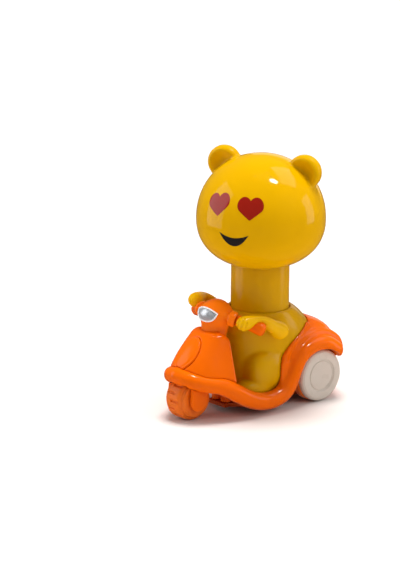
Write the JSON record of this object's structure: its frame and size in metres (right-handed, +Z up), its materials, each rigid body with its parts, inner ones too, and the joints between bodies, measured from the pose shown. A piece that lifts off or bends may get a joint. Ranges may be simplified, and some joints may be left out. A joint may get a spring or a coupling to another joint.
{
  "type": "press-and-go toy scooter with bear rider",
  "caption": "Toy bear riding a scooter: pressing its head pushes a rack that spins the rear wheels through gears, and a spring lifts the head again.",
  "frame": {"origin": "on the ground under the middle of the toy's length and width", "axes": "+Z up, -Y the way the scooter faces, +X the bear's left"},
  "size_m": [0.0512, 0.081, 0.1018],
  "materials": {
    "yellow_plastic": "glossy moulded yellow plastic",
    "body_yellow": "glossy moulded yellow plastic, a little deeper than the head",
    "orange_plastic": "glossy moulded orange plastic",
    "orange_tyre": "satin moulded orange plastic with moulded tread",
    "cream_plastic": "satin cream-white plastic",
    "silver_trim": "silver foil insert",
    "spring_steel": "plain drawn steel",
    "white_nylon": "natural white nylon",
    "dark_plastic": "dark grey moulded plastic"
  },
  "bodies": {
    "chassis": {"bear_body": "body_yellow", "left_arm": "yellow_plastic", "right_arm": "yellow_plastic", "scooter_body": "orange_plastic", "front_shield": "orange_plastic", "badge_plate": "orange_plastic", "handlebar": "orange_plastic", "left_grip": "orange_plastic", "right_grip": "orange_plastic", "headlight_lens": "silver_trim", "front_axle": "spring_steel", "left_fork_leg": "orange_plastic", "right_fork_leg": "orange_plastic", "left_axle_bush": "white_nylon", "right_axle_bush": "white_nylon", "compound_shaft": "spring_steel", "idler_shaft": "spring_steel", "left_gear_plate": "dark_plastic", "right_gear_plate": "dark_plastic", "spring_seat": "dark_plastic", "return_spring": "spring_steel", "base_plate": "orange_plastic", "front_left_screw": "spring_steel", "front_right_screw": "spring_steel", "rear_left_screw": "spring_steel", "rear_right_screw": "spring_steel"},
    "plunger": {"neck_tube": "yellow_plastic", "press_rack": "white_nylon"},
    "head": {"head_front_shell": "yellow_plastic", "head_rear_shell": "yellow_plastic", "head_socket": "white_nylon"},
    "compound": {"compound_gear": "white_nylon"},
    "idler": {"idler_gear": "white_nylon"},
    "drive": {"drive_gear": "white_nylon"},
    "rear_wheels": {"left_rear_tyre": "orange_tyre", "right_rear_tyre": "orange_tyre", "left_wheel_disc": "cream_plastic", "right_wheel_disc": "cream_plastic", "rear_axle": "spring_steel", "ratchet_hub": "white_nylon"},
    "front_wheel": {"front_wheel": "orange_tyre"}
  },
  "joints": [
    {"name": "head_press", "type": "slide", "parent": "chassis", "child": "plunger", "axis": [0, 0, -1], "range_m": [0, 0.012], "stiffness_N_per_m": 150, "springref_m": -0.004, "deforming": ["return_spring"]},
    {"name": "head_turn", "type": "hinge", "parent": "plunger", "child": "head", "pos_m": [0, 0.00547, 0.0585], "axis": [0, 0, 1], "continuous": true},
    {"name": "compound_spin", "type": "hinge", "parent": "chassis", "child": "compound", "pos_m": [0, 0.00817, 0.018], "axis": [1, 0, 0], "range_deg": [0, 256]},
    {"name": "idler_spin", "type": "hinge", "parent": "chassis", "child": "idler", "pos_m": [0, 0.01609, 0.0111], "axis": [1, 0, 0], "range_deg": [-341, 0]},
    {"name": "drive_spin", "type": "hinge", "parent": "chassis", "child": "drive", "pos_m": [0, 0.02357, 0.0106], "axis": [1, 0, 0], "range_deg": [0, 511]},
    {"name": "rear_wheels_roll", "type": "hinge", "parent": "chassis", "child": "rear_wheels", "pos_m": [0, 0.02357, 0.0106], "axis": [1, 0, 0], "continuous": true},
    {"name": "front_wheel_roll", "type": "hinge", "parent": "chassis", "child": "front_wheel", "pos_m": [0, -0.03193, 0.0085], "axis": [1, 0, 0], "continuous": true}
  ],
  "couplings": [
    {"joint": "compound_spin", "follows": "head_press", "rad_per_m": 370.37},
    {"joint": "idler_spin", "follows": "head_press", "rad_per_m": -493.83},
    {"joint": "drive_spin", "follows": "head_press", "rad_per_m": 740.74}
  ]
}
